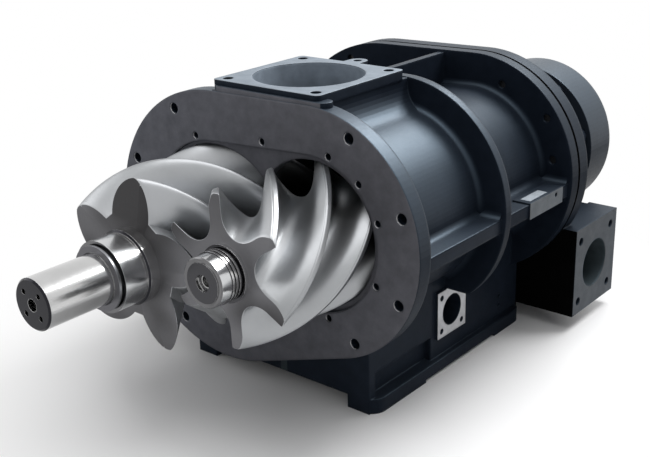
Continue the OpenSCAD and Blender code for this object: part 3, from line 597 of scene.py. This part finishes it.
# cast fillets, metres
casting = {
    "maleFlange": 0.166,
    "femaleFlange": 0.144,
    "frontWall": 0.027,  # wall round the rotors in the front bay
    "rearWall": 0.019,
    "flangeBack": -0.16075,
    "ribFront": -0.01275,
    "ribBack": -0.00075,
    "rearFlange": 0.14425,
    "chestLeft": -0.070,
    "chestRight": 0.088,
    "shelfHalf": 0.008,
    "shelfRight": 0.1985,  # height of the middle of each shelf
    "shelfLeft": 0.186,
    "shelfInset": 0.005,
    "fillet": 0.007,
    "ledge": (-0.066, 0.099),  # from left to right, under the inlet plate's front edge
    "ledgeY": (-0.1797, -0.1600),
    "ledgeZ": (0.346, 0.3585),
    "shelfFillet": 0.008,
    "rightEnd": -54,  # degrees, where the fillets meet the foot base
    "leftEnd": 236,
    "sharpAngle": 40,  # degrees
}


# a hollow quarter round along a row of corners, each with the directions of its two faces
def filletStrip(name, stations, radius, steps=7, sink=0.0006):
    verts, faces = [], []
    n = steps + 2
    for corner, a, b in stations:
        corner, a, b = Vector(corner), Vector(a).normalized(), Vector(b).normalized()
        for i in range(steps + 1):
            t = math.pi / 2 * i / steps
            verts.append(corner + a * radius * (1 - math.sin(t)) + b * radius * (1 - math.cos(t)))
        verts.append(corner - (a + b) * sink)
    for j in range(len(stations) - 1):
        for i in range(n):
            k = (i + 1) % n
            faces.append((j * n + i, j * n + k, (j + 1) * n + k, (j + 1) * n + i))
    faces.append(tuple(range(n))[::-1])
    faces.append(tuple(range((len(stations) - 1) * n, len(stations) * n)))
    mesh = bpy.data.meshes.new(name)
    mesh.from_pydata(verts, [], faces)
    bm = bmesh.new()
    bm.from_mesh(mesh)
    bmesh.ops.recalc_face_normals(bm, faces=bm.faces)
    bm.to_mesh(mesh)
    bm.free()
    for f in mesh.polygons:
        f.use_smooth = True
    mesh.set_sharp_from_angle(angle=math.radians(casting["sharpAngle"]))
    obj = bpy.data.objects.new(name, mesh)
    bpy.context.scene.collection.objects.link(obj)
    mesh.materials.append(filletPaint)
    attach(obj, "root")


def arcStations(axis, radius, first, last, y, away, count=40):
    out = []
    for i in range(count + 1):
        t = math.radians(first + (last - first) * i / count)
        d = Vector((math.cos(t), 0, math.sin(t)))
        out.append((Vector((axis[0], y, axis[1])) + d * radius, (0, away, 0), d))
    return out


def angleAt(axis, radius, x, side):
    return math.degrees(math.acos((x - axis[0]) / radius)) * side


def makeFillets():
    c = casting
    f = c["fillet"]
    bays = ((c["frontWall"], ((c["flangeBack"], 1), (c["ribFront"], -1)), True),
            (c["rearWall"], ((c["ribBack"], 1), (c["rearFlange"], -1)), False))
    for bay, (wall, corners, chest) in enumerate(bays):
        rf = rotorShape["femaleRadius"] + wall
        rm = rotorShape["maleRadius"] + wall
        b = math.degrees(math.acos((rm - rf) / axisDistance))
        tilt = math.degrees(axisTilt)
        topRight = angleAt(femaleAxis, rf, c["chestRight"], 1) if chest else tilt + b
        topLeft = angleAt(maleAxis, rm, c["chestLeft"], 1) if chest else tilt + b
        for k, (y, away) in enumerate(corners):
            filletStrip(f"rightFillet{bay}{k}", arcStations(
                femaleAxis, rf, c["rightEnd"], topRight, y, away), f)
            filletStrip(f"leftFillet{bay}{k}", arcStations(
                maleAxis, rm, topLeft, c["leftEnd"], y, away), f)
            if not chest:
                t = math.radians(tilt + b)
                d = Vector((math.cos(t), 0, math.sin(t)))
                ends = [Vector((q[0], y, q[1])) + d * r
                        for q, r in ((femaleAxis, rf), (maleAxis, rm))]
                filletStrip(f"topFillet{bay}{k}", [(e, (0, away, 0), d) for e in ends], f)
        # along and across the shelves
        y0, y1 = corners[0][0], corners[1][0]
        g = c["shelfFillet"]
        for name, axis, r, edge, mid, way in (
                ("right", femaleAxis, rf, c["femaleFlange"], c["shelfRight"], 1),
                ("left", maleAxis, rm, c["maleFlange"], c["shelfLeft"], -1)):
            outer = axis[0] + way * (edge - c["shelfInset"])
            for face, up in (("Top", 1), ("Under", -1)):
                z = mid + up * c["shelfHalf"]
                x = axis[0] + way * math.sqrt(r ** 2 - (z - axis[1]) ** 2)
                filletStrip(f"{name}Shelf{face}{bay}", [
                    ((x, y, z), (way, 0, 0), (0, 0, up)) for y in (y0, y1)], f)
                for k, (y, away) in enumerate(corners):
                    filletStrip(f"{name}Shelf{face}{bay}End{k}", [
                        ((v, y, z), (0, away, 0), (0, 0, up)) for v in (x, outer - 0.001)], g)


def makeLedge(steps=12):  # the small cast ledge under the inlet flange
    c = casting
    (x0, x1), (y0, y1), (z0, z1) = c["ledge"], c["ledgeY"], c["ledgeZ"]
    r = (y1 - y0) / 2
    plan = []
    for cx, first in ((x1 - r, -90), (x0 + r, 90)):
        for i in range(steps + 1):
            t = math.radians(first + 180 * i / steps)
            plan.append((cx + r * math.cos(t), (y0 + y1) / 2 + r * math.sin(t)))
    n = len(plan)
    mesh = bpy.data.meshes.new("plateLedge")
    mesh.from_pydata([(*p, z) for z in (z0, z1) for p in plan], [],
                     [(i, (i + 1) % n, n + (i + 1) % n, n + i) for i in range(n)]
                     + [tuple(range(n))[::-1], tuple(range(n, 2 * n))])
    for f in mesh.polygons:
        f.use_smooth = True
    mesh.set_sharp_from_angle(angle=math.radians(casting["sharpAngle"]))
    obj = bpy.data.objects.new("plateLedge", mesh)
    bpy.context.scene.collection.objects.link(obj)
    mesh.materials.append(looks["casing_paint"])
    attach(obj, "root")


makeFillets()
makeLedge()
print("fillets made")

# floor, lights and world
studio = {
    "floor": (0.90, 0.90, 0.905),
    "worldLight": 0.42,
    "floorSize": 14,
    "middle": (0.02, -0.05),
    "farFrom": 0.28,  # where the floor starts to fade to white, metres from the middle
    "farTo": 0.58,
}

lamps = {  # place, target, size, watts
    "overheadSoftbox": ((0.15, -0.35, 1.7), (0, -0.1, 0.2), (1.7, 1.1), 10.5),
    "backSoftbox": ((0.34, 0.70, 1.22), (0.10, -0.1, 0.28), (0.85, 0.42), 16.0),
    "leftFill": ((-1.5, -1.0, 1.0), (0, -0.2, 0.2), (1.0, 1.0), 4.5),
}


def softLamp(name, place, target, size, power):
    data = bpy.data.lights.new(name, "AREA")
    data.shape = "RECTANGLE"
    data.size, data.size_y = size
    data.energy = power
    lamp = bpy.data.objects.new(name, data)
    lamp.location = place
    lamp.rotation_euler = (Vector(target) - Vector(place)).to_track_quat("-Z", "Y").to_euler()
    bpy.context.scene.collection.objects.link(lamp)


def seenRays(tree):  # 1 for camera, glossy and transmission rays
    path = tree.nodes.new("ShaderNodeLightPath")
    out = path.outputs["Is Camera Ray"]
    for other in ("Is Glossy Ray", "Is Transmission Ray"):
        m = tree.nodes.new("ShaderNodeMath")
        m.operation = "MAXIMUM"
        tree.links.new(out, m.inputs[0])
        tree.links.new(path.outputs[other], m.inputs[1])
        out = m.outputs[0]
    return out


def makeFloor():
    bpy.ops.mesh.primitive_plane_add(size=studio["floorSize"], location=(0, 0, 0))
    floor = bpy.context.object
    floor.name = "studioFloor"
    s = Shade("floorPaint")
    s.link(s.mix(s.noise(3, 2), studio["floor"], tuple(v * 0.99 for v in studio["floor"])),
           s.bsdf.inputs["Base Color"])
    s.bsdf.inputs["Roughness"].default_value = 0.9
    x, y = s.axes()[:2]
    far = s.ramp(s.distance(x, y, studio["middle"]), studio["farFrom"], studio["farTo"])
    glow = s.add("ShaderNodeEmission")
    glow.inputs["Color"].default_value = (1, 1, 1, 1)
    glow.inputs["Strength"].default_value = 1.0
    mixer = s.add("ShaderNodeMixShader")
    s.link(s.both(far, seenRays(s.tree)), mixer.inputs[0])
    s.link(s.bsdf.outputs[0], mixer.inputs[1])
    s.link(glow.outputs[0], mixer.inputs[2])
    s.link(mixer.outputs[0], s.tree.nodes["Material Output"].inputs["Surface"])
    floor.data.materials.append(s.mat)


def makeWorld():
    world = bpy.data.worlds.new("studioWorld")
    bpy.context.scene.world = world
    world.use_nodes = True
    t = world.node_tree
    bg = t.nodes["Background"]
    bg.inputs["Color"].default_value = (1, 1, 1, 1)
    bg.inputs["Strength"].default_value = studio["worldLight"]
    white = t.nodes.new("ShaderNodeBackground")
    white.inputs["Color"].default_value = (1, 1, 1, 1)
    white.inputs["Strength"].default_value = 1.0
    mixer = t.nodes.new("ShaderNodeMixShader")
    t.links.new(seenRays(t), mixer.inputs[0])
    t.links.new(bg.outputs[0], mixer.inputs[1])
    t.links.new(white.outputs[0], mixer.inputs[2])
    t.links.new(mixer.outputs[0], t.nodes["World Output"].inputs["Surface"])


for lampName, values in lamps.items():
    softLamp(lampName, *values)
makeFloor()
makeWorld()
bpy.context.scene.view_settings.view_transform = "Standard"
print("studio lit")
